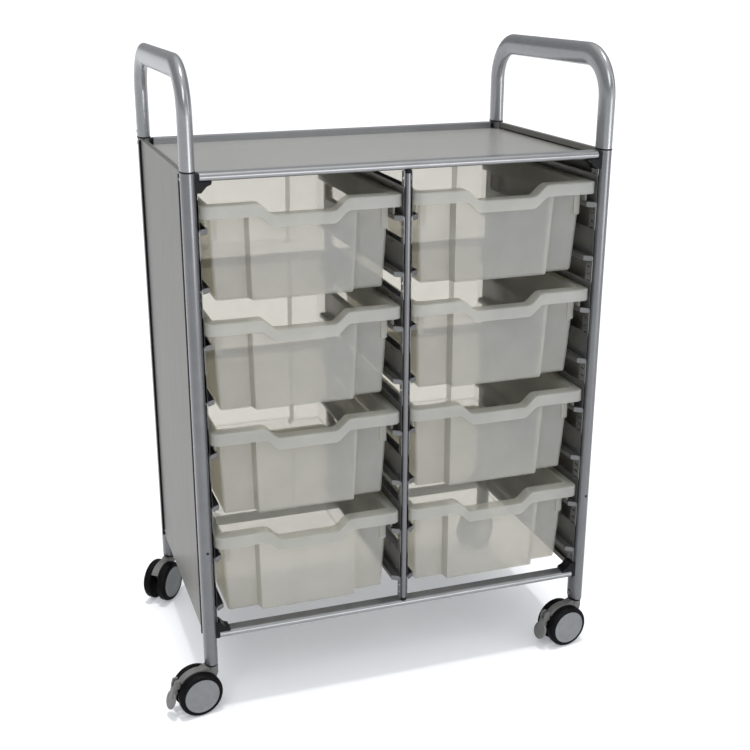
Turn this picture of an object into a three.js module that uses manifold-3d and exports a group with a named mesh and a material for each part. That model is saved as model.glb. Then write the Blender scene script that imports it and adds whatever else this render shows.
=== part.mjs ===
// Book cart: an oval-tube frame on twin-wheel casters that carries two columns of deep sliding trays.
// Millimetres, +Z up, front towards -Y. The origin is on the floor, under the middle of the overall box.
import * as THREE from "three";
import { ConvexGeometry } from "three/addons/geometries/ConvexGeometry.js";
import { mergeVertices } from "three/addons/utils/BufferGeometryUtils.js";
import Module from "manifold-3d";

const wasm = await Module();
wasm.setup();

// ---------------------------------------------------------------- driving dimensions
const GAP = 0.3; // clearance between pieces that touch
const FRAME_MIDDLE = [29.6, 4.9]; // the frame's centre, because the casters trail to one side

const POST_X = 334; // post centre from the frame's middle
const POST_Y = 200;
const TUBE_HALF_X = 11; // oval tube, 22 across and 36 deep
const TUBE_HALF_Y = 18;
const TUBE_WALL = 1.5;
const POST_BOTTOM = 85;
const POST_TOP = 886;

const GASKET = 2; // ring between a post and its handle
const HANDLE_TOP = 1029; // centre line of the handle bar
const HANDLE_BEND = 65;
const SPIGOT_BOTTOM = 843;

const RAIL_DEPTH = 22;
const RAIL_HEIGHT = 12;
const RAIL_FRONT = 213; // rounded nose of a rail from the frame's middle
const RAIL_WALL = 2;
const RAIL_END = 319; // a rail stops short of the posts, against its corner brackets
const TOP_RAIL_BOTTOM = 873;
const BOTTOM_RAIL_BOTTOM = 130;

const CENTRE_POST_HALF_X = 5;
const CENTRE_POST_HALF_Y = 7;
const CENTRE_POST_Y = 206;

const SHEET = 1.2;
const SHELF_TOP = 874; // the top panel is sunk between the rails
const SHELF_FLANGE = 14;
const PANEL_FACE = 341.5; // outer face of a side panel, set back between the posts
const PANEL_END = 184.5;
const PANEL_TOP = 884.5;
const PANEL_RETURN = 8; // folded edge along the top and bottom of a side panel
const PANEL_LIP = 8.5;

const RUNNER_LEVELS = 8;
const RUNNER_PITCH = 88;
const RUNNER_BOTTOM = 795; // lowest point of the first runner
const RUNNER_TALL = 52;
const RUNNER_REACH = 13.6;
const RUNNER_LIP = 8.5;
const RUNNER_END = 209; // front and rear ends of a runner
const RUNNER_CHAMFER = 7.5;
const STRIP_BASE = 3; // strips start above the bottom rail and stop below the top rail
const STRIP_HEADROOM = 2;
const INNER_RUNNER_BACK = 5.8; // back faces of the runners, beside the centre and the outer posts
const OUTER_RUNNER_BACK = 322.7;
const INNER_STRIP_DEEP = 11;
const OUTER_STRIP_DEEP = 20;

const BRACKET_TALL = 16;
const BRACKET_LONG = 22;

const TRAY_LEVELS = 4;
const TRAY_X = (INNER_RUNNER_BACK + OUTER_RUNNER_BACK) / 2;
const TRAY_WIDE = 311;
const TRAY_LONG = 427;
const TRAY_TALL = 150;
const TRAY_FRONT = 214;
const TRAY_PITCH = 2 * RUNNER_PITCH;
const TRAY_RIM_TOP = 837;
const TRAY_WALL = 2.2;
const RIM_BAND = 19;
const RIM_WALL = 2;
const RIM_OVERHANG = 24; // front and rear rim, proud of the walls
const BODY_TOP_HALF = 141;
const BODY_BOTTOM_HALF = 134;
const BODY_DRAFT_Y = 8;
const BODY_CORNER = 5;
const FLOOR_CHAMFER = 4;
const DIP_HALF_TOP = 68; // finger dip in the front rim
const DIP_HALF_BOTTOM = 48.5;
const DIP_DEPTH = 18;
const SKID_INSET = 9.5; // ribs under the side flanges that ride on the runners
const SKID_HALF = 1.2;
const SKID_END = 18;
const PAD_IN = 3; // stiffening pads on the front wall, in from its corners
const PAD_WIDE = 10;
const PAD_PROUD = 0.6;
const PAD_THICK = 4;
const PAD_TALL = 36;
const BULGE_HALF = 88; // middle of the end walls, which stands outward
const BULGE_OUT = 16;
const BULGE_RAMP = 5;
const BULGE_TAPER = 5; // narrower by this on each side at the floor

const WHEEL_RADIUS = 37.5;
const WHEEL_INNER = 8.5;
const WHEEL_OUTER = 23.5;
const CASTER_TRAIL = 26;
const AXLE_RADIUS = 4;
const HUB_COVER = 3; // wall that closes the wheel's bore
const STEM_RADIUS = 5;
const STEM_BOTTOM = 56;
const PLUG_TALL = 22; // insert inside the post
const CASTER_TOP = 79.5; // top of the grey housing
const COLUMN_HALF = 9.5; // round column of the housing, about the stem
const COLUMN_BOTTOM = 72;
const COLLAR_HALF = [10.5, 15]; // black insert under the post's cut end
const HOOD_RADIUS = 38.5;
const HOOD_WALL = 7.5;
const HOOD_HALF = 7;
const HOOD_END = 38; // degrees above level where the hood stops on the trailing side
const HUB_WEB = 9; // web round the axle
const LUG_HALF = 2.6;
const LUG_RADIUS = 4.6;
const PEDAL_PIVOT = [60, 59];
const PEDAL_PIN = 2;
const PADDLE_RADIUS = 15.5;
const PADDLE_MIDDLE = [72, 32.5];
const PADDLE_THICK = 4.5;
const PADDLE_LEAN = 20; // degrees the paddle's face looks up

// Each caster trails its own way, as it was last pushed: the direction of the wheels from the stem.
const CASTERS = [
  { name: "front_left", x: -1, y: -1, trail: [-0.984, -0.176], brake: true },
  { name: "front_right", x: 1, y: -1, trail: [-0.988, -0.156], brake: true },
  { name: "rear_left", x: -1, y: 1, trail: [-0.656, -0.755], brake: false },
  { name: "rear_right", x: 1, y: 1, trail: [-0.85, -0.53], brake: false },
];

// ---------------------------------------------------------------- materials
const frameMetal = new THREE.MeshStandardMaterial({ color: 0x8b8d92, roughness: 0.42, metalness: 0.55 });
const panelMetal = new THREE.MeshStandardMaterial({ color: 0xb4b5b3, roughness: 0.36, metalness: 0.6 });
const runnerMetal = new THREE.MeshStandardMaterial({ color: 0x83868a, roughness: 0.38, metalness: 0.7 });
const clearPlastic = new THREE.MeshStandardMaterial({
  color: 0xd9d8cf, roughness: 0.3, metalness: 0, transparent: true, opacity: 0.5,
});
const blackPlastic = new THREE.MeshStandardMaterial({ color: 0x121214, roughness: 0.5, metalness: 0 });
const greyPlastic = new THREE.MeshStandardMaterial({ color: 0x84878b, roughness: 0.45, metalness: 0 });
const tyreRubber = new THREE.MeshStandardMaterial({ color: 0x1a1a1c, roughness: 0.6, metalness: 0 });
const steel = new THREE.MeshStandardMaterial({ color: 0xb9bbbe, roughness: 0.3, metalness: 1 });

// ---------------------------------------------------------------- solids
function toSolid(geometry) {
  const bare = geometry.clone();
  bare.deleteAttribute("normal");
  bare.deleteAttribute("uv");
  const merged = mergeVertices(bare, 1e-3);
  const vertProperties = merged.getAttribute("position").array;
  const triVerts = new Uint32Array(merged.index.array);
  return new wasm.Manifold(new wasm.Mesh({ numProp: 3, vertProperties, triVerts }));
}

function toGeometry(solid) {
  const mesh = solid.getMesh();
  const geometry = new THREE.BufferGeometry();
  geometry.setAttribute("position", new THREE.BufferAttribute(mesh.vertProperties, 3));
  geometry.setIndex(new THREE.BufferAttribute(mesh.triVerts, 1));
  geometry.computeVertexNormals();
  return geometry;
}

function join(...pieces) {
  return toGeometry(pieces.map(toSolid).reduce((sum, piece) => sum.add(piece)));
}

function cut(base, ...tools) {
  return toGeometry(tools.map(toSolid).reduce((rest, tool) => rest.subtract(tool), toSolid(base)));
}

function box(low, high) {
  const size = high.map((value, axis) => value - low[axis]);
  const middle = high.map((value, axis) => (value + low[axis]) / 2);
  return new THREE.BoxGeometry(...size).translate(...middle);
}

// Closed outlines as lists of [u, v] points.
function oval(halfU, halfV, steps, centreU = 0, centreV = 0) {
  const curve = new THREE.EllipseCurve(centreU, centreV, halfU, halfV);
  return curve.getPoints(steps).slice(0, steps).map((p) => [p.x, p.y]);
}

function roundRect(halfU, halfV, radius, steps) {
  const points = [];
  for (let corner = 0; corner < 4; corner++) {
    const signU = corner === 0 || corner === 3 ? 1 : -1;
    const signV = corner < 2 ? 1 : -1;
    for (let step = 0; step <= steps; step++) {
      const angle = ((corner + step / steps) * Math.PI) / 2;
      const u = signU * (halfU - radius) + radius * Math.cos(angle);
      const v = signV * (halfV - radius) + radius * Math.sin(angle);
      points.push([u, v]);
    }
  }
  return points;
}

function arc(centre, radius, fromDegrees, toDegrees, steps) {
  const points = [];
  for (let step = 0; step <= steps; step++) {
    const angle = THREE.MathUtils.degToRad(fromDegrees + ((toDegrees - fromDegrees) * step) / steps);
    points.push([centre[0] + radius * Math.cos(angle), centre[1] + radius * Math.sin(angle)]);
  }
  return points;
}

function shapeOf(outline, hole) {
  const shape = new THREE.Shape(outline.map(([u, v]) => new THREE.Vector2(u, v)));
  if (hole) shape.holes.push(new THREE.Path(hole.map(([u, v]) => new THREE.Vector2(u, v))));
  return shape;
}

function extrude(outline, depth, hole) {
  return new THREE.ExtrudeGeometry(shapeOf(outline, hole), { depth, bevelEnabled: false });
}

// A prism along Z: the outline is [x, y].
function prismZ(outline, from, to, hole) {
  return extrude(outline, to - from, hole).translate(0, 0, from);
}

// A prism along X: the outline is [y, z].
function prismX(outline, from, to, hole) {
  const turn = new THREE.Matrix4().makeBasis(
    new THREE.Vector3(0, 1, 0), new THREE.Vector3(0, 0, 1), new THREE.Vector3(1, 0, 0),
  );
  return extrude(outline, to - from, hole).applyMatrix4(turn).translate(from, 0, 0);
}

// A prism along Y: the outline is [x, z].
function prismY(outline, from, to, hole) {
  return extrude(outline, to - from, hole).rotateX(Math.PI / 2).translate(0, to, 0);
}

// A curve that visits its points one per step, so that an extrusion puts a section at each point.
class PointRoute extends THREE.Curve {
  constructor(points) {
    super();
    this.points = points;
  }

  getPoint(t) {
    const place = t * (this.points.length - 1);
    const index = Math.min(Math.round(place), this.points.length - 1);
    return this.points[index].clone();
  }

  getPointAt(u) {
    return this.getPoint(u);
  }

  getTangentAt(u) {
    const step = 1 / (this.points.length - 1);
    const before = this.getPoint(Math.max(u - step, 0));
    return this.getPoint(Math.min(u + step, 1)).sub(before).normalize();
  }
}

// An oval tube along a route that starts upwards and stays in one YZ plane; its halfX lies along X.
function sweepOval(halfX, halfY, steps, points) {
  return new THREE.ExtrudeGeometry(shapeOf(oval(halfY, halfX, steps)), {
    steps: points.length - 1, bevelEnabled: false, extrudePath: new PointRoute(points),
  });
}

// ---------------------------------------------------------------- frame
const cart = new THREE.Group();
cart.position.set(FRAME_MIDDLE[0], FRAME_MIDDLE[1], 0);

function add(parent, name, geometry, material) {
  const mesh = new THREE.Mesh(geometry, material);
  mesh.name = name;
  parent.add(mesh);
  return mesh;
}

const SIDES = [["left", -1], ["right", 1]];
const ENDS = [["front", -1], ["rear", 1]];

function addPosts() {
  const outline = oval(TUBE_HALF_X, TUBE_HALF_Y, 20);
  const bore = oval(TUBE_HALF_X - TUBE_WALL, TUBE_HALF_Y - TUBE_WALL, 16);
  for (const [end, signY] of ENDS) {
    for (const [side, signX] of SIDES) {
      const post = add(cart, `post_${end}_${side}`, prismZ(outline, POST_BOTTOM, POST_TOP, bore), frameMetal);
      post.position.set(signX * POST_X, signY * POST_Y, 0);
    }
  }
}

// Centre line of a handle, front leg to rear leg, starting at height z.
function handleRoute(z, stepsPerBend) {
  const straightY = POST_Y - HANDLE_BEND;
  const bendZ = HANDLE_TOP - HANDLE_BEND;
  const front = arc([-straightY, bendZ], HANDLE_BEND, 180, 90, stepsPerBend);
  const rear = arc([straightY, bendZ], HANDLE_BEND, 90, 0, stepsPerBend);
  const route = [[-POST_Y, z], ...front, ...rear, [POST_Y, z]];
  return route.map(([y, height]) => new THREE.Vector3(0, y, height));
}

function handleGeometry() {
  const shoulder = POST_TOP + GASKET;
  const solidParts = [sweepOval(TUBE_HALF_X, TUBE_HALF_Y, 16, handleRoute(shoulder, 6))];
  const boreX = TUBE_HALF_X - TUBE_WALL;
  const boreY = TUBE_HALF_Y - TUBE_WALL;
  const hollows = [sweepOval(boreX, boreY, 12, handleRoute(shoulder + GASKET, 3))];
  for (const [, signY] of ENDS) {
    const spigot = oval(boreX - GAP, boreY - GAP, 16);
    const spigotBore = oval(boreX - GAP - TUBE_WALL, boreY - GAP - TUBE_WALL, 12);
    solidParts.push(prismZ(spigot, SPIGOT_BOTTOM, shoulder + 1).translate(0, signY * POST_Y, 0));
    hollows.push(prismZ(spigotBore, SPIGOT_BOTTOM - 1, shoulder + 2 * GASKET).translate(0, signY * POST_Y, 0));
  }
  return cut(join(...solidParts), ...hollows);
}

function addHandles() {
  for (const [side, signX] of SIDES) {
    const handle = add(cart, `handle_${side}`, handleGeometry(), frameMetal);
    handle.position.x = signX * POST_X;
  }
}

// A rail's section as [y, z] with its nose towards -Y, measured from the nose and the underside.
function railSection(inset) {
  const nose = RAIL_HEIGHT / 2;
  const back = RAIL_DEPTH - inset;
  return [
    [back, inset],
    [back, RAIL_HEIGHT - inset],
    ...arc([nose, nose], nose - inset, 90, 270, 6),
  ];
}

function addRails() {
  const levels = [["top", TOP_RAIL_BOTTOM], ["bottom", BOTTOM_RAIL_BOTTOM]];
  for (const [level, z] of levels) {
    for (const [end, signY] of ENDS) {
      const bar = prismX(railSection(0), -RAIL_END, RAIL_END, railSection(RAIL_WALL));
      const rail = add(cart, `rail_${level}_${end}`, bar.translate(0, -RAIL_FRONT, 0), frameMetal);
      rail.position.z = z;
      if (signY > 0) rail.rotation.z = Math.PI;
    }
  }
}

function addCentrePosts() {
  const outline = oval(CENTRE_POST_HALF_X, CENTRE_POST_HALF_Y, 16);
  const from = BOTTOM_RAIL_BOTTOM + RAIL_HEIGHT + GAP;
  const to = TOP_RAIL_BOTTOM - GAP;
  const bore = oval(CENTRE_POST_HALF_X - TUBE_WALL, CENTRE_POST_HALF_Y - TUBE_WALL, 10);
  for (const [end, signY] of ENDS) {
    const post = add(cart, `centre_post_${end}`, prismZ(outline, from, to, bore), frameMetal);
    post.position.y = signY * CENTRE_POST_Y;
  }
}

// ---------------------------------------------------------------- sheet metal
function addTopPanel() {
  const halfX = PANEL_FACE - PANEL_RETURN - GAP;
  const halfY = RAIL_FRONT - RAIL_DEPTH - GAP;
  const cornerX = POST_X - TUBE_HALF_X - 1;
  const cornerY = POST_Y - TUBE_HALF_Y - 1;
  const outline = [
    [halfX, -cornerY], [halfX, cornerY], [cornerX, cornerY], [cornerX, halfY],
    [-cornerX, halfY], [-cornerX, cornerY], [-halfX, cornerY], [-halfX, -cornerY],
    [-cornerX, -cornerY], [-cornerX, -halfY], [cornerX, -halfY], [cornerX, -cornerY],
  ];
  const sheet = prismZ(outline, SHELF_TOP - SHEET, SHELF_TOP);
  const flanges = SIDES.map(([, signX]) => {
    const inner = signX * (halfX - SHEET);
    const outer = signX * halfX;
    const low = [Math.min(inner, outer), -cornerY + GAP, SHELF_TOP - SHELF_FLANGE];
    return box(low, [Math.max(inner, outer), cornerY - GAP, SHELF_TOP - SHEET / 2]);
  });
  add(cart, "top_panel", join(sheet, ...flanges), panelMetal);
}

// A right-hand side panel: a sheet whose top and bottom edges fold inwards and end in a lip.
function sidePanelGeometry() {
  const returnY = POST_Y - TUBE_HALF_Y - 2;
  const inner = PANEL_FACE - PANEL_RETURN;
  const bottom = BOTTOM_RAIL_BOTTOM;
  return join(
    box([PANEL_FACE - SHEET, -PANEL_END, bottom], [PANEL_FACE, PANEL_END, PANEL_TOP]),
    box([inner, -returnY, PANEL_TOP - SHEET], [PANEL_FACE - SHEET / 2, returnY, PANEL_TOP]),
    box([inner, -returnY, PANEL_TOP - PANEL_LIP], [inner + SHEET, returnY, PANEL_TOP - SHEET / 2]),
    box([inner, -returnY, bottom], [PANEL_FACE - SHEET / 2, returnY, bottom + SHEET]),
    box([inner, -returnY, bottom + SHEET / 2], [inner + SHEET, returnY, bottom + PANEL_LIP]),
  );
}

function addSidePanels() {
  for (const [side, signX] of SIDES) {
    const panel = add(cart, `side_panel_${side}`, sidePanelGeometry(), panelMetal);
    if (signX < 0) panel.rotation.z = Math.PI;
  }
}

// One runner as [x, z], reaching towards +X: a tall web, a sloping floor and an upturned lip.
function runnerSection(z) {
  const lip = RUNNER_REACH;
  const section = [
    [0, 6.4], [8.6, 0], [12, 0], [lip, 1.8], [lip, RUNNER_LIP], [lip - SHEET, RUNNER_LIP],
    [lip - SHEET, 2.4], [11.4, SHEET], [9.1, SHEET], [SHEET, 7.2], [SHEET, RUNNER_TALL], [0, RUNNER_TALL],
  ];
  return section.map(([x, height]) => [x, z + height]);
}

// Eight runners held by an upright strip at the front and one at the rear.
function runnerFrameGeometry(stripDeep) {
  const pieces = [];
  for (let level = 0; level < RUNNER_LEVELS; level++) {
    const z = RUNNER_BOTTOM - level * RUNNER_PITCH;
    pieces.push(prismY(runnerSection(z), -RUNNER_END, RUNNER_END));
  }
  const low = BOTTOM_RAIL_BOTTOM + RAIL_HEIGHT + STRIP_BASE;
  const high = TOP_RAIL_BOTTOM - STRIP_HEADROOM;
  for (const [, signY] of ENDS) {
    const near = signY * RUNNER_END;
    const far = signY * (RUNNER_END - stripDeep);
    pieces.push(box([0, Math.min(near, far), low], [1, Math.max(near, far), high]));
  }
  const corners = ENDS.map(([, signY]) => {
    const outline = [
      [SHEET + 1, signY * (RUNNER_END + 1)],
      [RUNNER_REACH + 1, signY * (RUNNER_END + 1)],
      [RUNNER_REACH + 1, signY * (RUNNER_END - RUNNER_CHAMFER)],
    ];
    return prismZ(signY < 0 ? outline : outline.reverse(), low, high);
  });
  return cut(join(...pieces), ...corners);
}

function addRunnerFrames() {
  for (const [side, signX] of SIDES) {
    const inner = add(cart, `runners_centre_${side}`, runnerFrameGeometry(INNER_STRIP_DEEP), runnerMetal);
    inner.position.x = signX * INNER_RUNNER_BACK;
    if (signX < 0) inner.rotation.z = Math.PI;
    const outer = add(cart, `runners_${side}`, runnerFrameGeometry(OUTER_STRIP_DEEP), runnerMetal);
    outer.position.x = signX * OUTER_RUNNER_BACK;
    if (signX > 0) outer.rotation.z = Math.PI;
  }
}

// ---------------------------------------------------------------- corner brackets
// A stepped black bracket that closes the end of the top rail, at the right-hand front post.
function bracketGeometry() {
  const railTop = TOP_RAIL_BOTTOM + RAIL_HEIGHT - 1;
  const railBottom = TOP_RAIL_BOTTOM - GAP;
  const foot = railBottom - BRACKET_TALL;
  const postFace = POST_X - TUBE_HALF_X;
  const outline = [
    [postFace + 6, railTop], [RAIL_END + GAP, railTop], [RAIL_END + GAP, railBottom],
    [postFace - BRACKET_LONG, railBottom], [postFace - BRACKET_LONG + 1, railBottom - 4],
    [postFace - 14, railBottom - 7], [postFace - 6, foot], [postFace + 6, foot],
  ];
  const block = prismY(outline, -RAIL_FRONT + 1, -RAIL_FRONT + RAIL_DEPTH);
  const post = prismZ(oval(TUBE_HALF_X + GAP, TUBE_HALF_Y + GAP, 24), foot - 1, railTop + 1);
  const stripX = OUTER_RUNNER_BACK - 1 - GAP;
  const strip = box(
    [stripX, -RUNNER_END - GAP, foot - 1], [POST_X, -RUNNER_END + OUTER_STRIP_DEEP, railBottom - 1.5],
  );
  return cut(block, post.translate(POST_X, -POST_Y, 0), strip);
}

function addBrackets() {
  const levels = [["top", 1], ["bottom", -1]];
  for (const [level, signZ] of levels) {
    for (const [end, signY] of ENDS) {
      for (const [side, signX] of SIDES) {
        const bracket = add(cart, `bracket_${level}_${end}_${side}`, bracketGeometry(), blackPlastic);
        bracket.scale.set(signX, -signY, signZ);
        if (signZ < 0) bracket.position.z = TOP_RAIL_BOTTOM + BOTTOM_RAIL_BOTTOM + RAIL_HEIGHT;
      }
    }
  }
}

// ---------------------------------------------------------------- trays
// Points of a rounded outline at one height, for a convex hull.
function ring(halfX, halfY, radius, z) {
  return roundRect(halfX, halfY, radius, 2).map(([x, y]) => new THREE.Vector3(x, y, z));
}

// The tray's tapered body, inset by a wall all round; its top is at z = 0.
function trayBody(inset, top) {
  const half = TRAY_LONG / 2 - RIM_OVERHANG - inset;
  const low = half - BODY_DRAFT_Y;
  const bottomHalf = BODY_BOTTOM_HALF - inset;
  const topHalf = BODY_TOP_HALF - inset;
  const floor = -TRAY_TALL + inset;
  return new ConvexGeometry([
    ...ring(bottomHalf - FLOOR_CHAMFER, low - FLOOR_CHAMFER, BODY_CORNER / 2, floor),
    ...ring(bottomHalf, low, BODY_CORNER, floor + FLOOR_CHAMFER),
    ...ring(topHalf, half, BODY_CORNER, top),
  ]);
}

// The middle of the front wall, which stands outward and tapers towards the floor.
function trayBulge(inset, top) {
  const back = -TRAY_LONG / 2 + RIM_OVERHANG + 2 * BODY_DRAFT_Y;
  const face = -TRAY_LONG / 2 + RIM_OVERHANG - BULGE_OUT + inset;
  const foot = face + BODY_DRAFT_Y;
  const floor = -TRAY_TALL + inset;
  const wide = BULGE_HALF - inset;
  const low = wide - BULGE_TAPER;
  const points = [];
  for (const sign of [-1, 1]) {
    points.push(
      new THREE.Vector3(sign * low, back, floor + FLOOR_CHAMFER), new THREE.Vector3(sign * wide, back, top),
      new THREE.Vector3(sign * wide, face + BULGE_OUT, top),
      new THREE.Vector3(sign * low, foot + BULGE_OUT, floor + FLOOR_CHAMFER),
      new THREE.Vector3(sign * (wide - BULGE_RAMP), face, top),
      new THREE.Vector3(sign * (low - BULGE_RAMP), foot, floor + FLOOR_CHAMFER),
      new THREE.Vector3(sign * (low - BULGE_RAMP), foot + FLOOR_CHAMFER, floor),
      new THREE.Vector3(sign * (low - BULGE_RAMP), back, floor),
    );
  }
  return new ConvexGeometry(points);
}

function bothEnds(geometry) {
  return [geometry, geometry.clone().rotateZ(Math.PI)];
}

// A strip of the front rim that follows the finger dip, as [x, z], from its top edge down by height.
function dipStrip(height) {
  const edge = [
    [-DIP_HALF_TOP - 6, 0], [-DIP_HALF_TOP, 0], [-DIP_HALF_BOTTOM, -DIP_DEPTH],
    [DIP_HALF_BOTTOM, -DIP_DEPTH], [DIP_HALF_TOP, 0], [DIP_HALF_TOP + 6, 0],
  ];
  const under = edge.map(([x, z]) => [x, z - height]).reverse();
  return [...under, ...edge];
}

function trayGeometry() {
  const halfX = TRAY_WIDE / 2;
  const halfY = TRAY_LONG / 2;
  const rim = cut(
    prismZ(roundRect(halfX, halfY, 14, 3), -RIM_BAND, 0),
    prismZ(roundRect(halfX - RIM_WALL, halfY - RIM_WALL, 12, 3), -RIM_BAND - 1, -TRAY_WALL),
  );
  const pieces = [rim, trayBody(0, 0), ...bothEnds(trayBulge(0, 0))];
  const skidX = halfX - SKID_INSET;
  const skidBottom = RUNNER_BOTTOM + RUNNER_LIP + GAP - TRAY_RIM_TOP;
  const padFront = -halfY + RIM_OVERHANG - PAD_PROUD;
  for (const sign of [-1, 1]) {
    const skid = sign * skidX;
    const pad = sign * (BODY_TOP_HALF - PAD_IN - PAD_WIDE / 2);
    const padHalf = PAD_WIDE / 2;
    pieces.push(
      box([skid - SKID_HALF, -halfY + SKID_END, skidBottom], [skid + SKID_HALF, halfY - SKID_END, -1]),
      box([pad - padHalf, padFront, -RIM_BAND - PAD_TALL], [pad + padHalf, padFront + PAD_THICK, -1]),
    );
  }
  const dipCut = prismY(
    [
      [-DIP_HALF_BOTTOM, -DIP_DEPTH], [DIP_HALF_BOTTOM, -DIP_DEPTH], [DIP_HALF_TOP, 0],
      [DIP_HALF_TOP, 4], [-DIP_HALF_TOP, 4], [-DIP_HALF_TOP, 0],
    ],
    -halfY - 2, -halfY + RIM_OVERHANG + 10,
  );
  const hollows = [trayBody(TRAY_WALL, 5), ...bothEnds(trayBulge(TRAY_WALL, -TRAY_WALL))];
  const shell = cut(join(...pieces), dipCut, ...hollows);
  return join(
    shell,
    prismY(dipStrip(RIM_BAND), -halfY, -halfY + RIM_WALL),
    prismY(dipStrip(TRAY_WALL), -halfY, -halfY + RIM_OVERHANG - BULGE_OUT + 1),
  );
}

function addTrays() {
  for (const [side, signX] of SIDES) {
    for (let level = 0; level < TRAY_LEVELS; level++) {
      const tray = add(cart, `tray_${side}_${level + 1}`, trayGeometry(), clearPlastic);
      tray.position.set(signX * TRAY_X, -TRAY_FRONT + TRAY_LONG / 2, TRAY_RIM_TOP - level * TRAY_PITCH);
    }
  }
}

// ---------------------------------------------------------------- casters
// Each caster is modelled with its stem at the origin and its wheels trailing towards +X.
const HUB = [CASTER_TRAIL, WHEEL_RADIUS];

function stemGeometry(trailAngle) {
  const plug = oval(TUBE_HALF_X - TUBE_WALL - GAP, TUBE_HALF_Y - TUBE_WALL - GAP, 16);
  const collar = oval(...COLLAR_HALF, 16);
  const pin = oval(STEM_RADIUS, STEM_RADIUS, 12);
  return join(
    prismZ(plug, POST_BOTTOM - 1, POST_BOTTOM + PLUG_TALL),
    prismZ(collar, CASTER_TOP + GAP, POST_BOTTOM - GAP),
    prismZ(pin, STEM_BOTTOM, POST_BOTTOM),
  ).rotateZ(-trailAngle);
}

// The housing: a column round the stem, a hood over the wheels and a web down to the axle.
function housingGeometry(brake) {
  const [hubX, hubZ] = HUB;
  const web = [
    [-COLUMN_HALF, CASTER_TOP], [-COLUMN_HALF, 64], [-COLUMN_HALF + 4, 54], [hubX - 11, hubZ - 6],
    ...arc(HUB, HUB_WEB, 225, 360, 4),
    [hubX + 12, hubZ + 18],
    ...arc(HUB, HOOD_RADIUS - HOOD_WALL, 60, HOOD_END, 2),
    ...arc(HUB, HOOD_RADIUS, HOOD_END, 98, 6),
    [COLUMN_HALF + 2, CASTER_TOP - 1], [COLUMN_HALF, CASTER_TOP],
  ];
  const column = prismZ(oval(COLUMN_HALF, COLUMN_HALF, 16), COLUMN_BOTTOM, CASTER_TOP);
  const pieces = [prismY(web, -HOOD_HALF, HOOD_HALF), column];
  const holes = [
    prismZ(oval(STEM_RADIUS + GAP, STEM_RADIUS + GAP, 12), STEM_BOTTOM - 1, CASTER_TOP + 1),
    prismY(oval(AXLE_RADIUS + GAP, AXLE_RADIUS + GAP, 12, ...HUB), -HOOD_HALF - 1, HOOD_HALF + 1),
  ];
  if (brake) {
    const [px, pz] = PEDAL_PIVOT;
    const lug = [
      [hubX + 5, hubZ + 9], [hubX + 7, hubZ + 2], [px + 1, pz - LUG_RADIUS - 0.4],
      ...arc(PEDAL_PIVOT, LUG_RADIUS, -60, 110, 5), [px - 10, pz + 4],
    ];
    pieces.push(prismY(lug, -LUG_HALF, LUG_HALF));
    holes.push(prismY(oval(PEDAL_PIN + GAP, PEDAL_PIN + GAP, 10, px, pz), -LUG_HALF - 1, LUG_HALF + 1));
  }
  return cut(join(...pieces), ...holes);
}

function axleGeometry() {
  const half = WHEEL_OUTER - HUB_COVER - 0.5;
  return prismY(oval(AXLE_RADIUS, AXLE_RADIUS, 12, ...HUB), -half, half);
}

// A wheel turned about its axle: [radius, distance from the caster's middle], outer face last.
function wheelGeometry() {
  const blind = WHEEL_OUTER - HUB_COVER;
  const bore = AXLE_RADIUS + GAP;
  const profile = [
    [0, blind], [bore, blind], [bore, WHEEL_INNER], [WHEEL_RADIUS - 1, WHEEL_INNER],
    [WHEEL_RADIUS, WHEEL_INNER + 2.5], [WHEEL_RADIUS, WHEEL_OUTER - 5.5],
    [WHEEL_RADIUS - 2, WHEEL_OUTER - 1.8], [WHEEL_RADIUS - 6, WHEEL_OUTER], [0, WHEEL_OUTER],
  ];
  const points = profile.map(([radius, along]) => new THREE.Vector2(radius, along));
  return new THREE.LatheGeometry(points, 20);
}

// The brake pedal: a block on the hood's end, an arm and a round paddle that leans outwards.
function pedalGeometry() {
  const [px, pz] = PEDAL_PIVOT;
  const [paddleX, paddleZ] = PADDLE_MIDDLE;
  const block = [
    [px - 3, pz - 6], [px + 6, pz - 9], [px + 9, pz - 2], [px + 5.5, pz + 9], [px - 2.5, pz + 9.5],
  ];
  const arm = [
    [px + 4, pz - 4], [px + 1.5, pz - 14], [paddleX - 4, paddleZ + 2], [paddleX, paddleZ - 8],
    [paddleX + 2, paddleZ], [px + 9, pz - 3],
  ];
  const slotHalf = LUG_HALF + GAP + 0.2;
  const slot = box([px - 7, -slotHalf, pz - 8], [px + LUG_RADIUS + 1, slotHalf, pz + 12]);
  const lean = THREE.MathUtils.degToRad(90 - PADDLE_LEAN);
  const paddle = prismZ(oval(PADDLE_RADIUS, PADDLE_RADIUS, 20), -PADDLE_THICK / 2, PADDLE_THICK / 2)
    .rotateY(lean)
    .translate(paddleX, 0, paddleZ);
  return join(
    cut(join(prismY(block, -HOOD_HALF, HOOD_HALF), prismY(arm, -HOOD_HALF + 1, HOOD_HALF - 1)), slot),
    paddle,
    prismY(oval(PEDAL_PIN, PEDAL_PIN, 8, px, pz), -HOOD_HALF + 1, HOOD_HALF - 1),
  );
}

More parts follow.
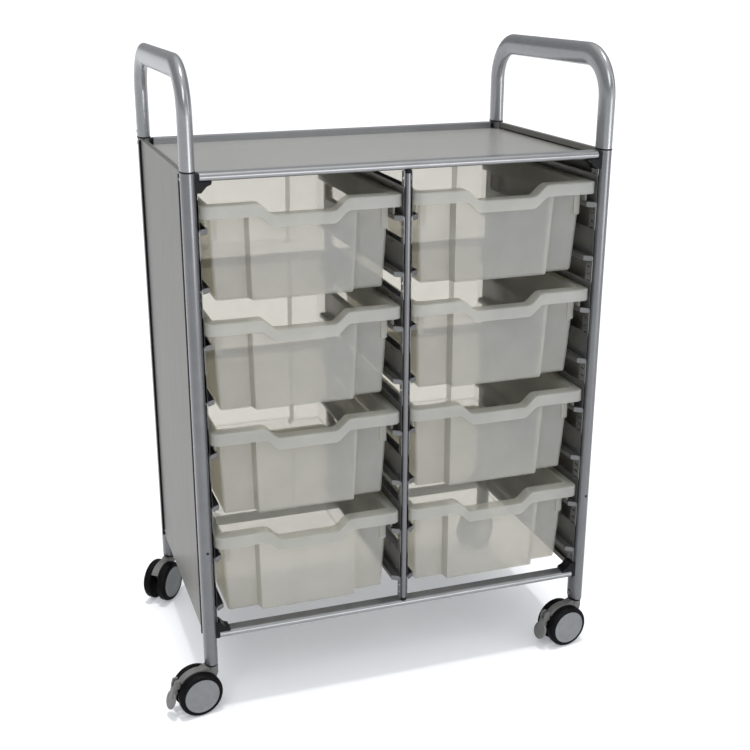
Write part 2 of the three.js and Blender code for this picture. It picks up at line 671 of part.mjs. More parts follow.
function addCaster({ name, x, y, trail, brake }) {
  const group = new THREE.Group();
  const angle = Math.atan2(trail[1], trail[0]);
  group.position.set(x * POST_X, y * POST_Y, 0);
  group.rotation.z = angle;
  cart.add(group);
  add(group, `caster_stem_${name}`, stemGeometry(angle), blackPlastic);
  add(group, `caster_housing_${name}`, housingGeometry(brake), greyPlastic);
  add(group, `caster_axle_${name}`, axleGeometry(), steel);
  for (const [label, signY] of [["a", -1], ["b", 1]]) {
    const wheel = add(group, `caster_wheel_${name}_${label}`, wheelGeometry(), tyreRubber);
    wheel.position.set(HUB[0], 0, HUB[1]);
    if (signY < 0) wheel.rotation.z = Math.PI;
  }
  if (brake) add(group, `brake_pedal_${name}`, pedalGeometry(), greyPlastic);
}

addPosts();
addHandles();
addRails();
addCentrePosts();
addTopPanel();
addSidePanels();
addRunnerFrames();
addBrackets();
addTrays();
CASTERS.forEach(addCaster);

const bookCart = new THREE.Group();
bookCart.add(cart);
export default bookCart;
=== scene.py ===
"""The looks of the book cart: smooth tube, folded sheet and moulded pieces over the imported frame."""

import math

import bmesh
import bpy
from mathutils import Matrix, Vector


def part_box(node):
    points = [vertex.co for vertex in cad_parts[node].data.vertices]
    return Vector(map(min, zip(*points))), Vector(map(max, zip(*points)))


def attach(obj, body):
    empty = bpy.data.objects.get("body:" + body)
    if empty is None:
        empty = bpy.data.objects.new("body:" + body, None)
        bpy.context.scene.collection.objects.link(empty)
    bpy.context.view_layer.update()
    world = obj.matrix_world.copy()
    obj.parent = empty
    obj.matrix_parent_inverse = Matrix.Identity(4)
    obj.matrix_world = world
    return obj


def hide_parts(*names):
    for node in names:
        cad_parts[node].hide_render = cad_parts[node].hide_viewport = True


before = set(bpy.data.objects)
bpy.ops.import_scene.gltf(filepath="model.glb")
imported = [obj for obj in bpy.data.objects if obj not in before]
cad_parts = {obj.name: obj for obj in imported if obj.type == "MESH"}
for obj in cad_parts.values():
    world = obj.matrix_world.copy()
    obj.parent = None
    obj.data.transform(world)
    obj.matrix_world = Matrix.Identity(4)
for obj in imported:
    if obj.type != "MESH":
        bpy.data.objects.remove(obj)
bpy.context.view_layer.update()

# ---------------------------------------------------------------- driving sizes, in metres
MM = 0.001
TUBE_WALL = 1.5 * MM
HANDLE_BEND = 65 * MM
GASKET = 2 * MM
RAIL_WALL = 2 * MM
SHEET = 1.2 * MM
HAIR = 0.3 * MM  # clearance between pieces that touch

RUNNER_LEVELS = 8
RUNNER_PITCH = 88 * MM
RUNNER_TALL = 52 * MM
RUNNER_REACH = 13.6 * MM
RUNNER_LIP = 8.5 * MM
RUNNER_FOLD = 2 * MM  # outer radius of the fold at the lip's foot
RUNNER_CHAMFER = 7.5 * MM
RUNNER_DROP = 76 * MM  # first runner below the strips' tops
STRIP_SHEET = 1 * MM
SLOTS_PER_LEVEL = 7
SLOT_TALL = 4 * MM
DIMPLE_HALF = (5 * MM, 2.4 * MM)
DIMPLE_PROUD = 1.4 * MM
DIMPLES = ((17 * MM, 18.5 * MM), (54 * MM, 45 * MM))  # in from a runner's end, up from its foot

TRAY_LEVELS = 4
TRAY_WALL = 2.2 * MM
TRAY_TALL = 150 * MM
RIM_BAND = 19 * MM
RIM_OVERHANG = 24 * MM
RIM_CORNER = 14 * MM
BODY_TOP_HALF = 141 * MM
BODY_BOTTOM_HALF = 134 * MM
BODY_DRAFT = 8 * MM
BODY_CORNER = 5 * MM
FLOOR_FILLET = 4 * MM
DIP_HALF_TOP = 68 * MM
DIP_HALF_BOTTOM = 48.5 * MM
DIP_DEPTH = 18 * MM
DIP_EASE = 4 * MM  # rounds the dip's four corners
BULGE_HALF = 88 * MM
BULGE_RAMP = 4 * MM
BULGE_OUT = 16 * MM
SKID_INSET = 9.5 * MM
SKID_HALF = 1.2 * MM
SKID_END = 18 * MM
SKID_TALL = 33.2 * MM
PAD_IN = 3 * MM
PAD_WIDE = 10 * MM
PAD_PROUD = 0.6 * MM
PAD_THICK = 1.6 * TRAY_WALL
PAD_TALL = 36 * MM

WHEEL_INNER = 8.5 * MM
WHEEL_OUTER = 23.5 * MM
WHEEL_SHOULDER = 6 * MM
CAP_RADIUS = 29.6 * MM
GROOVE_GLINT_INSET = 2.6 * MM  # painted highlight: a thin grey ridge round the top of each tyre's outer side, for the lit edge of a groove there
GROOVE_GLINT_HALF = 0.35 * MM
STEM_RADIUS = 5 * MM
STEM_LONG = 20 * MM
HOOD_RADIUS = 38.5 * MM
HOOD_WALL = 7.5 * MM
HOOD_HALF = 7 * MM
HOOD_END = 38
COLUMN_HALF = 9.5 * MM
CASTER_TOP = 79.5 * MM
COLLAR_HALF = (10.5 * MM, 15 * MM)
PEDAL_PIVOT = (60 * MM, 59 * MM)
PADDLE_RADIUS = 15.5 * MM
PADDLE_MIDDLE = (72 * MM, 32.5 * MM)
PADDLE_THICK = 4.5 * MM
PADDLE_LEAN = 20
LUG_HALF = 2.6 * MM
LUG_RADIUS = 4.6 * MM

SCREW_STEP = 9 * MM  # from the gasket to the screw above and below it
PANEL_SCREW = (24 * MM, 14 * MM)  # in from the post, up from the panel's foot
POST_HOLE_UP = 204 * MM
SIDE_HOLE_UP = 12 * MM

SIDES = [("left", -1), ("right", 1)]
ENDS = [("front", -1), ("rear", 1)]


# ---------------------------------------------------------------- camera, floor and lights
CAMERA_PLACE = Vector((-0.6016, -1.8397, 1.1520))
CAMERA_AZIMUTH = math.radians(-17.776)
CAMERA_ELEVATION = math.radians(18.891)
CAMERA_ROLL = math.radians(-0.365)
CAMERA_LENS = 55.83
CAMERA_SHIFT = (0.04356, -0.00451)
FLOOR_HALF = 60


def add_camera():
    """The camera's axes are built from the direction it looks back along, then rolled."""
    a, e = CAMERA_AZIMUTH, CAMERA_ELEVATION
    back = Vector((math.sin(a) * math.cos(e), -math.cos(a) * math.cos(e), math.sin(e)))
    right = Vector((0, 0, 1)).cross(back).normalized()
    up = back.cross(right)
    c, s = math.cos(CAMERA_ROLL), math.sin(CAMERA_ROLL)
    axes = Matrix((c * right + s * up, c * up - s * right, back)).transposed()
    data = bpy.data.cameras.new("camera")
    data.lens = CAMERA_LENS
    data.sensor_width = 36
    data.shift_x, data.shift_y = CAMERA_SHIFT
    data.clip_start = 0.05
    data.clip_end = 200
    camera = bpy.data.objects.new("camera", data)
    camera.matrix_world = Matrix.Translation(CAMERA_PLACE) @ axes.to_4x4()
    bpy.context.scene.collection.objects.link(camera)
    bpy.context.scene.camera = camera


def add_soft_light(name, place, target, size, power, colour):
    data = bpy.data.lights.new(name, "AREA")
    data.shape = "RECTANGLE"
    data.size, data.size_y = size
    data.energy = power
    data.color = colour
    light = bpy.data.objects.new(name, data)
    light.location = place
    light.rotation_euler = (Vector(target) - Vector(place)).to_track_quat("-Z", "Y").to_euler()
    bpy.context.scene.collection.objects.link(light)


def add_overhead_light():
    """A wide light straight overhead, which drops a soft-edged shadow right under the cart."""
    data = bpy.data.lights.new("overhead", "SUN")
    data.energy = 2.2
    data.angle = math.radians(7)
    light = bpy.data.objects.new("overhead", data)
    light.location = (0, 0, 3)
    bpy.context.scene.collection.objects.link(light)


def add_world():
    """A pale sky: white along the horizon, grey above it and bright again overhead."""
    world = bpy.data.worlds.new("studio")
    world.use_nodes = True
    nodes, links = world.node_tree.nodes, world.node_tree.links
    spot = nodes.new("ShaderNodeTexCoord")
    height = nodes.new("ShaderNodeSeparateXYZ")
    ramp = nodes.new("ShaderNodeValToRGB")
    stops = ramp.color_ramp.elements
    stops[0].color = (1.3, 1.3, 1.3, 1)
    stops[1].color = (1.7, 1.7, 1.7, 1)
    stops.new(0.03).color = (1.3, 1.3, 1.3, 1)
    stops.new(0.06).color = (0.40, 0.41, 0.43, 1)
    stops.new(0.55).color = (0.5, 0.51, 0.52, 1)
    stops.new(0.75).color = (1.5, 1.5, 1.5, 1)
    links.new(spot.outputs["Generated"], height.inputs[0])
    links.new(height.outputs["Z"], ramp.inputs["Fac"])
    links.new(ramp.outputs["Color"], nodes["Background"].inputs["Color"])
    nodes["Background"].inputs["Strength"].default_value = 0.8
    bpy.context.scene.world = world


def add_floor():
    """A plain pale floor that glows a little, as a lit paper sweep does."""
    corners = [(FLOOR_HALF * x, FLOOR_HALF * y, 0) for x, y in ((-1, -1), (1, -1), (1, 1), (-1, 1))]
    mesh = bpy.data.meshes.new("floor")
    mesh.from_pydata(corners, [], [(0, 1, 2, 3)])
    floor = bpy.data.objects.new("floor", mesh)
    bpy.context.scene.collection.objects.link(floor)
    material = bpy.data.materials.new("floor_paper")
    material.use_nodes = True
    paper = material.node_tree.nodes["Principled BSDF"]
    paper.inputs["Base Color"].default_value = (0.6, 0.6, 0.61, 1)
    paper.inputs["Roughness"].default_value = 1
    paper.inputs["Specular IOR Level"].default_value = 0
    paper.inputs["Emission Color"].default_value = (0.9, 0.93, 1, 1)
    paper.inputs["Emission Strength"].default_value = 0.24
    mesh.materials.append(material)


# ---------------------------------------------------------------- materials
def new_material(name):
    material = bpy.data.materials.new(name)
    material.use_nodes = True
    nodes = material.node_tree.nodes
    return material, nodes, material.node_tree.links, nodes["Principled BSDF"]


def noise_node(nodes, links, scale, detail, stretch=(1, 1, 1)):
    """A noise texture in the object's own coordinates."""
    spot = nodes.new("ShaderNodeTexCoord")
    mapping = nodes.new("ShaderNodeMapping")
    mapping.inputs["Scale"].default_value = stretch
    texture = nodes.new("ShaderNodeTexNoise")
    texture.inputs["Scale"].default_value = scale
    texture.inputs["Detail"].default_value = detail
    links.new(spot.outputs["Object"], mapping.inputs["Vector"])
    links.new(mapping.outputs["Vector"], texture.inputs["Vector"])
    return texture.outputs["Fac"]


def blend_colours(nodes, links, factor, dark, light):
    """Fades from the dark colour to the light one over the middle of a noise texture's range."""
    ramp = nodes.new("ShaderNodeValToRGB")
    ramp.color_ramp.elements[0].position = 0.3
    ramp.color_ramp.elements[1].position = 0.7
    ramp.color_ramp.elements[0].color = (*dark, 1)
    ramp.color_ramp.elements[1].color = (*light, 1)
    links.new(factor, ramp.inputs["Fac"])
    return ramp.outputs["Color"]


def add_grain(nodes, links, shader, scale, height, stretch=(1, 1, 1), strength=0.5):
    bump = nodes.new("ShaderNodeBump")
    bump.inputs["Strength"].default_value = strength
    bump.inputs["Distance"].default_value = height
    links.new(noise_node(nodes, links, scale, 3, stretch), bump.inputs["Height"])
    links.new(bump.outputs["Normal"], shader.inputs["Normal"])


def vary_roughness(nodes, links, shader, scale, low, high, stretch=(1, 1, 1)):
    spread = nodes.new("ShaderNodeMapRange")
    spread.inputs["To Min"].default_value = low
    spread.inputs["To Max"].default_value = high
    links.new(noise_node(nodes, links, scale, 4, stretch), spread.inputs["Value"])
    links.new(spread.outputs["Result"], shader.inputs["Roughness"])


def coated_metal(name, dark, light, metallic, rough, grain=900, stretch=(1, 1, 1), shine=0.5):
    """Powder-coated or zinc-plated metal: cloudy colour, a fine fleck and a light orange peel."""
    material, nodes, links, shader = new_material(name)
    links.new(
        blend_colours(nodes, links, noise_node(nodes, links, 35, 6, stretch), dark, light),
        shader.inputs["Base Color"],
    )
    shader.inputs["Metallic"].default_value = metallic
    shader.inputs["Specular IOR Level"].default_value = shine
    vary_roughness(nodes, links, shader, 60, rough - 0.02, rough + 0.02, stretch)
    add_grain(nodes, links, shader, grain, 0.015 * MM, stretch, 0.03)
    return material


def moulded_plastic(name, dark, light, rough, grain=1400, shine=0.35):
    material, nodes, links, shader = new_material(name)
    links.new(
        blend_colours(nodes, links, noise_node(nodes, links, 90, 5), dark, light),
        shader.inputs["Base Color"],
    )
    vary_roughness(nodes, links, shader, 150, rough - 0.06, rough + 0.06)
    shader.inputs["Specular IOR Level"].default_value = shine
    add_grain(nodes, links, shader, grain, 0.05 * MM)
    return material


WARM_LIGHT = (1.0, 0.98, 0.86)  # light that glows through milky plastic turns a little yellow
CLEAR_TINT = (0.865, 0.85, 0.806, 1)  # and so does what is seen through it


def milky_plastic(name, clear, dark, light):
    """Natural polypropylene: partly see-through, partly a soft white that light comes through."""
    material, nodes, links, shader = new_material(name)
    colour = blend_colours(nodes, links, noise_node(nodes, links, 22, 5), dark, light)
    links.new(colour, shader.inputs["Base Color"])
    vary_roughness(nodes, links, shader, 80, 0.3, 0.4)
    add_grain(nodes, links, shader, 400, 0.04 * MM, strength=0.01)
    shader.inputs["Specular IOR Level"].default_value = 0.6
    through = nodes.new("ShaderNodeBsdfTranslucent")
    warm = [[part * share for part, share in zip(tone, WARM_LIGHT)] for tone in (dark, light)]
    glow = blend_colours(nodes, links, noise_node(nodes, links, 22, 5), *warm)
    links.new(glow, through.inputs["Color"])
    milk = nodes.new("ShaderNodeMixShader")
    milk.inputs[0].default_value = 0.5
    links.new(shader.outputs[0], milk.inputs[1])
    links.new(through.outputs[0], milk.inputs[2])
    gap = nodes.new("ShaderNodeBsdfTransparent")
    gap.inputs["Color"].default_value = CLEAR_TINT
    both = nodes.new("ShaderNodeMixShader")
    both.inputs[0].default_value = clear
    links.new(milk.outputs[0], both.inputs[1])
    links.new(gap.outputs[0], both.inputs[2])
    links.new(both.outputs[0], nodes["Material Output"].inputs["Surface"])
    return material


# The frame has one paint, given as two copies: this darker one for the upright tubes is painted shade, and
# the lighter one below for the handles and rails is painted highlight for the light they catch from above.
FRAME_PAINT = coated_metal("frame_paint", (0.125, 0.127, 0.134), (0.14, 0.143, 0.15), 0.65, 0.26, 300)
LIT_FRAME_PAINT = coated_metal("frame_paint_lit_copy", (0.215, 0.218, 0.225), (0.235, 0.239, 0.247), 0.65, 0.24, 300)
# Painted highlight: the top panel takes the side panels' paint made lighter, as it faces up into the light.
LIT_PANEL_PAINT = coated_metal("panel_paint_lit_top", (0.305, 0.301, 0.288), (0.325, 0.32, 0.307), 0.4, 0.26, 90)
PANEL_PAINT = coated_metal(
    "panel_paint", (0.135, 0.132, 0.12), (0.15, 0.147, 0.135), 0.1, 0.32, 120, (1, 1, 0.2), 0.05,
)
RUNNER_METAL = coated_metal(
    "runner_metal", (0.11, 0.112, 0.115), (0.135, 0.138, 0.142), 0.6, 0.3, 800, (1, 0.2, 1),
)
TRAY_WALLS = milky_plastic("tray_plastic", 0.71, (0.71, 0.725, 0.745), (0.77, 0.785, 0.805))
TRAY_RIM = milky_plastic("tray_rim_plastic", 0.5, (0.54, 0.555, 0.56), (0.60, 0.615, 0.62))
BLACK = moulded_plastic("black_plastic", (0.003, 0.003, 0.004), (0.006, 0.006, 0.007), 0.5, 900, 0.12)
GREY = moulded_plastic("grey_plastic", (0.1, 0.1, 0.098), (0.12, 0.12, 0.117), 0.42)
CAP_GREY = moulded_plastic("hub_cap_plastic", (0.125, 0.131, 0.138), (0.15, 0.157, 0.164), 0.38)
TYRE = moulded_plastic("tyre", (0.002, 0.002, 0.003), (0.005, 0.005, 0.005), 0.5, 500, 0.05)
STEEL = coated_metal("steel", (0.42, 0.42, 0.43), (0.55, 0.55, 0.56), 1.0, 0.25)


# ---------------------------------------------------------------- mesh building
class Shape:
    """Vertices and faces of one piece, gathered from lofted parts that may differ in material."""

    def __init__(self):
        self.verts = []
        self.faces = []
        self.slots = []

    def add(self, verts, faces, slot=0):
        start = len(self.verts)
        self.verts += [Vector(v) for v in verts]
        self.faces += [[start + i for i in face] for face in faces]
        self.slots += [slot] * len(faces)

    def loft(self, rings, slot=0, around=False, capped=True):
        """Skins rings of equal count. With around, the last ring joins the first, as in a hollow tube."""
        count = len(rings[0])
        faces = []
        for r in range(len(rings) if around else len(rings) - 1):
            low = r * count
            high = (r + 1) % len(rings) * count
            for i in range(count):
                j = (i + 1) % count
                faces.append([low + i, low + j, high + j, high + i])
        if capped and not around:
            last = (len(rings) - 1) * count
            faces.append([i for i in reversed(range(count))])
            faces.append([last + i for i in range(count)])
        self.add([v for ring in rings for v in ring], faces, slot)

    def prism(self, axis, outline, low, high, slot=0, hole=None):
        """Extrudes an outline of (u, v) along an axis. A hole has as many points as the outline."""
        outer = [[along(axis, u, v, w) for u, v in outline] for w in (low, high)]
        if hole is None:
            self.loft(outer, slot)
        else:
            inner = [[along(axis, u, v, w) for u, v in hole] for w in (high, low)]
            self.loft(outer + inner, slot, around=True)

    def box(self, low, high, slot=0):
        outline = [(low[0], low[1]), (high[0], low[1]), (high[0], high[1]), (low[0], high[1])]
        self.prism("z", outline, low[2], high[2], slot)

    def turn(self, axis, centre, profile, steps, slot=0):
        """Turns a closed profile of (radius, distance along the axis) about the axis through centre."""
        rings = []
        for radius, distance in profile:
            ring = []
            for step in range(steps):
                angle = 2 * math.pi * step / steps
                offset = along(axis, radius * math.cos(angle), radius * math.sin(angle), distance)
                ring.append(Vector(centre) + offset)
            rings.append(ring)
        self.loft(rings, slot)

    def moved(self, matrix, start=0):
        """Moves the vertices from start onwards."""
        self.verts[start:] = [matrix @ v for v in self.verts[start:]]

    def piece(self, name, materials, sharp=32):
        """The finished object, smooth except at edges sharper than the angle given in degrees."""
        mesh = bpy.data.meshes.new(name)
        mesh.from_pydata(self.verts, [], self.faces)
        for polygon, slot in zip(mesh.polygons, self.slots):
            polygon.material_index = slot
        tidy = bmesh.new()
        tidy.from_mesh(mesh)
        bmesh.ops.remove_doubles(tidy, verts=tidy.verts, dist=0.005 * MM)
        bmesh.ops.recalc_face_normals(tidy, faces=tidy.faces)
        tidy.to_mesh(mesh)
        tidy.free()
        mesh.shade_smooth()
        mesh.set_sharp_from_angle(angle=math.radians(sharp))
        for material in materials:
            mesh.materials.append(material)
        piece = bpy.data.objects.new(name, mesh)
        bpy.context.scene.collection.objects.link(piece)
        return piece


def along(axis, u, v, w):
    """The point at section coordinates u, v and distance w along an axis, as part.mjs orders them."""
    return Vector({"x": (w, u, v), "y": (u, w, v), "z": (u, v, w)}[axis])


def oval(half_u, half_v, steps, centre=(0, 0)):
    angles = [2 * math.pi * step / steps for step in range(steps)]
    return [(centre[0] + half_u * math.cos(t), centre[1] + half_v * math.sin(t)) for t in angles]


def arc(centre, radius, start, end, steps):
    """Points on an arc; the angles are in degrees."""
    angles = [math.radians(start + (end - start) * step / steps) for step in range(steps + 1)]
    return [(centre[0] + radius * math.cos(t), centre[1] + radius * math.sin(t)) for t in angles]


def round_corners(piece, width, segments=2):
    bevel = piece.modifiers.new("edges", "BEVEL")
    bevel.width = width
    bevel.segments = segments
    bevel.limit_method = "ANGLE"
    bevel.angle_limit = math.radians(40)
    bevel.harden_normals = True
    return piece


def settle(piece, body, slot, *nodes):
    """The piece rides on its body and stands for the CAD nodes given, which it hides. Its slot is not used.
    """
    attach(piece, body)
    if nodes:
        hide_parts(*nodes)
    return piece


def middle(node):
    low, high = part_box(node)
    return (low + high) / 2


# ---------------------------------------------------------------- tubes
def tube_rings(route, half_x, half_y, steps):
    """Oval rings across a route of (y, z, x) points that stays in one YZ plane."""
    rings = []
    for i, point in enumerate(route):
        ahead = route[min(i + 1, len(route) - 1)] - route[max(i - 1, 0)]
        across = Vector((0, ahead.z, -ahead.y)).normalized()
        rings.append([point + Vector((u, 0, 0)) + across * v for u, v in oval(half_x, half_y, steps)])
    return rings


def open_tube(shape, route, half_x, half_y, wall, steps):
    """A hollow tube along a route, open at both ends."""
    outer = tube_rings(route, half_x, half_y, steps)
    inner = tube_rings(route, half_x - wall, half_y - wall, steps)
    shape.loft(outer + inner[::-1], around=True)


def add_posts():
    for end, _ in ENDS:
        for side, _ in SIDES:
            node = f"post_{end}_{side}"
            low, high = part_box(node)
            centre, half = (low + high) / 2, (high - low) / 2
            shape = Shape()
            route = [Vector((centre.x, centre.y, z)) for z in (low.z, high.z)]
            open_tube(shape, route, half.x, half.y, TUBE_WALL, 72)
            post = shape.piece(f"tube_{end}_{side}", [FRAME_PAINT])
            settle(round_corners(post, 0.4 * MM), "frame", "frame_paint", node)


def handle_route(front, rear, low, top):
    """Centre line of a handle: up the front leg, round two bends and down the rear leg."""
    bend = top - HANDLE_BEND
    points = [(front.y, low)]
    points += arc((front.y + HANDLE_BEND, bend), HANDLE_BEND, 180, 90, 20)
    points += arc((rear.y - HANDLE_BEND, bend), HANDLE_BEND, 90, 0, 20)
    points.append((rear.y, low))
    return [Vector((front.x, y, z)) for y, z in points]


def add_handles():
    for side, _ in SIDES:
        post_low, post_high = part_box(f"post_front_{side}")
        half = (post_high - post_low) / 2
        front, rear = middle(f"post_front_{side}"), middle(f"post_rear_{side}")
        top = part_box(f"handle_{side}")[1].z - half.y
        shape = Shape()
        open_tube(shape, handle_route(front, rear, post_high.z + GASKET, top), half.x, half.y, TUBE_WALL, 72)
        handle = shape.piece(f"handle_bar_{side}", [LIT_FRAME_PAINT])
        settle(round_corners(handle, 0.4 * MM), "frame", "frame_paint", f"handle_{side}")
        add_gaskets(side, [front, rear], half, post_high.z)


def add_gaskets(side, posts, half, top):
    """The black ring between each post and its handle."""
    shape = Shape()
    for post in posts:
        proud = 0.35 * MM
        outer = oval(half.x + proud, half.y + proud, 64, (post.x, post.y))
        inner = oval(half.x - TUBE_WALL, half.y - TUBE_WALL, 64, (post.x, post.y))
        shape.prism("z", outer, top, top + GASKET, hole=inner)
    gasket = shape.piece(f"gaskets_{side}", [BLACK])
    settle(round_corners(gasket, 0.3 * MM), "frame", "black_plastic")


def rail_section(depth, height, inset, steps):
    """A rail's (y, z) outline with its round nose at y = 0, pointing towards -Y."""
    nose = height / 2
    points = [(depth - inset, inset), (depth - inset, height - inset)]
    return points + arc((nose, nose), nose - inset, 90, 270, steps)


def add_rails():
    for level in ("top", "bottom"):
        for end, sign in ENDS:
            node = f"rail_{level}_{end}"
            low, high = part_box(node)
            depth, height = high.y - low.y, high.z - low.z
            nose = low.y if sign < 0 else high.y
            rings = []
            for inset in (0, RAIL_WALL):
                section = rail_section(depth, height, inset, 24)
                rings.append([(nose - sign * y, low.z + z) for y, z in section])
            shape = Shape()
            shape.prism("x", rings[0], low.x, high.x, hole=rings[1])
            rail = shape.piece(f"bar_{level}_{end}", [LIT_FRAME_PAINT])
            settle(round_corners(rail, 0.6 * MM, 3), "frame", "frame_paint", node)


def add_centre_posts():
    for end, _ in ENDS:
        node = f"centre_post_{end}"
        low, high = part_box(node)
        centre, half = (low + high) / 2, (high - low) / 2
        cap = 5 * MM
        shape = Shape()
        route = [Vector((centre.x, centre.y, z)) for z in (low.z + cap, high.z - cap)]
        open_tube(shape, route, half.x, half.y, TUBE_WALL, 48)
        settle(shape.piece(f"upright_{end}", [FRAME_PAINT]), "frame", "frame_paint", node)
        caps = Shape()
        for z in (low.z, high.z - cap):
            caps.prism("z", oval(half.x + 0.3 * MM, half.y + 0.3 * MM, 48, (centre.x, centre.y)), z, z + cap)
        piece = caps.piece(f"upright_caps_{end}", [BLACK])
        settle(round_corners(piece, 0.5 * MM), "frame", "black_plastic")


# ---------------------------------------------------------------- trays
def smooth_step(value, low, high):
    """0 below low and 1 above high, with an S-shaped rise between."""
    t = min(max((value - low) / (high - low), 0), 1)
    return t * t * (3 - 2 * t)


def dip_at(x):
    return DIP_DEPTH * (1 - smooth_step(abs(x), DIP_HALF_BOTTOM - DIP_EASE, DIP_HALF_TOP + DIP_EASE))


def bulge_at(x):
    return BULGE_OUT * min(max((BULGE_HALF - abs(x)) / BULGE_RAMP, 0), 1)


def edge_steps():
    """The x positions along an end wall, closer together over the bulge's edge and the dip's ramps."""
    steps = [BULGE_HALF + BULGE_RAMP, BULGE_HALF, BULGE_HALF - BULGE_RAMP]
    ramp = DIP_HALF_TOP - DIP_HALF_BOTTOM + 2 * DIP_EASE
    steps += [DIP_HALF_TOP + DIP_EASE - ramp * k / 10 for k in range(11)]
    steps += [DIP_HALF_BOTTOM - 16 * MM * k for k in (1, 2)]
    return [-x for x in steps] + [0.0] + steps[::-1]


def tray_ring(half, corner, z, bulge, dip):
    """A rounded outline at one height; both end walls bulge and only the front one dips.

    The bulge narrows with the body, towards the floor.
    """
    taper = min(half[0] / BODY_TOP_HALF, 1)
    points = []
    for turn in range(4):
        sign_x, sign_y = ((1, 1), (-1, 1), (-1, -1), (1, -1))[turn]
        centre = (sign_x * (half[0] - corner), sign_y * (half[1] - corner))
        points += [(x, y, z) for x, y in arc(centre, corner, 90 * turn, 90 * turn + 90, 8)]
        if turn == 0:
            points += [(taper * x, half[1] + bulge * bulge_at(x), z) for x in reversed(edge_steps())]
        if turn == 2:
            points += [
                (taper * x, -half[1] - bulge * bulge_at(x), z - dip * dip_at(x)) for x in edge_steps()
            ]
    return points


def tray_rings(size, inner):
    """The rings of a tray's inner or outer skin, from its floor up and out to the foot of its rim.

    The flange closes the bulges from above, so their inside ends just under it.
    """
    wall = TRAY_WALL if inner else 0
    floor = (BODY_BOTTOM_HALF, size.y / 2 - RIM_OVERHANG - BODY_DRAFT)
    top = (BODY_TOP_HALF, size.y / 2 - RIM_OVERHANG)
    rim = (size.x / 2, size.y / 2)

    def ring(half, corner, offset, z, bulge, dip):
        corner = max(corner + offset, 1 * MM)
        return tray_ring((half[0] + offset, half[1] + offset), corner, z, bulge, dip)

    reach = FLOOR_FILLET + TRAY_WALL
    rings = [ring(floor, BODY_CORNER, -3 * reach, -TRAY_TALL + wall, 1, 0)]
    for x, z in arc((-reach, -TRAY_TALL + reach), reach - wall, 270, 360, 5):
        rings.append(ring(floor, BODY_CORNER, x, z, 1, 0))
    for share in (0.3, 0.6):
        half = [low + (high - low) * share for low, high in zip(floor, top)]
        rings.append(ring(half, BODY_CORNER, -wall, -TRAY_TALL * (1 - share), 1, 0))
    bend = 1 * MM
    rings.append(ring(top, BODY_CORNER, -wall, -TRAY_WALL - 1.5 * bend, 1, 1))
    for x, z in arc((bend, -TRAY_WALL - bend), bend + wall, 180, 90, 4):
        rings.append(ring(top, BODY_CORNER, x, z, 0 if inner else 1, 1))
    edge = 2.4 * MM
    for x, z in arc((-edge, -edge), edge - TRAY_WALL + wall, 90, 0, 5):
        rings.append(ring(rim, RIM_CORNER, x, z, 0, 1))
    blunt = 0.6 * MM
    rings.append(ring(rim, RIM_CORNER, wall - TRAY_WALL, -RIM_BAND + blunt, 0, 1))
    rings.append(ring(rim, RIM_CORNER, -blunt if inner else blunt - TRAY_WALL, -RIM_BAND, 0, 1))
    return rings


def mark_edges(shape, ring, rings):
    """Gives the bulges' steps and the floor's rounded edge the thicker plastic, on both skins."""
    count = len(ring)
    steps = [
        i for i in range(count)
        if BULGE_HALF - BULGE_RAMP < abs(ring[i][0] + ring[(i + 1) % count][0]) / 2 < BULGE_HALF
    ]
    for skin in (0, rings):
        for level in range(rings - 1):
            start = (skin + level) * count
            for i in steps:
                shape.slots[start + i] = 1
    floor_edge = 3
    for level in (floor_edge, 2 * (rings - 1) - floor_edge):
        start = level * count
        shape.slots[start:start + count] = [1] * count


def soft_box(shape, low, high, radius, slot=0):
    """A box whose four edges along Y are rounded."""
    outline = []
    for turn in range(4):
        sign_x, sign_z = ((1, 1), (-1, 1), (-1, -1), (1, -1))[turn]
        x = (high[0] if sign_x > 0 else low[0]) - sign_x * radius
        z = (high[2] if sign_z > 0 else low[2]) - sign_z * radius
        outline += arc((x, z), radius, 90 * turn, 90 * turn + 90, 4)
    shape.prism("y", outline, low[1], high[1], slot)


def add_ribs(shape, size):
    """The ribs that ride on the runners and the stiffening pads at the front wall's corners."""
    top = -1 * MM
    for sign in (-1, 1):
        skid = sign * (size.x / 2 - SKID_INSET)
        end = size.y / 2 - SKID_END
        soft_box(shape, (skid - SKID_HALF, -end, -SKID_TALL), (skid + SKID_HALF, end, top), SKID_HALF * 0.9)
        pad = sign * (BODY_TOP_HALF - PAD_IN - PAD_WIDE / 2)
        front = RIM_OVERHANG - size.y / 2 - PAD_PROUD
        low = (pad - PAD_WIDE / 2, front, -RIM_BAND - PAD_TALL)
        soft_box(shape, low, (pad + PAD_WIDE / 2, front + PAD_THICK, top), 2 * MM)


def add_trays():
    for side, _ in SIDES:
        for level in range(1, TRAY_LEVELS + 1):
            node = f"tray_{side}_{level}"
            low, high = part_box(node)
            size = high - low
            inner, outer = tray_rings(size, True), tray_rings(size, False)
            shape = Shape()
            shape.loft(inner + outer[::-1])
            count = len(inner[0])
            rim_rings = 9  # from the top bend to the rim's foot, on each skin
            rim_first = (len(inner) - rim_rings) * count
            rim_last = (len(inner) + rim_rings - 1) * count
            shape.slots[rim_first:rim_last] = [1] * (rim_last - rim_first)
            mark_edges(shape, inner[-1], len(inner))
            add_ribs(shape, size)
            centre = (low + high) / 2
            shape.moved(Matrix.Translation((centre.x, centre.y, high.z)))
            tray = shape.piece(f"moulded_{node}", [TRAY_WALLS, TRAY_RIM], 40)
            settle(tray, node, "tray_plastic", node)


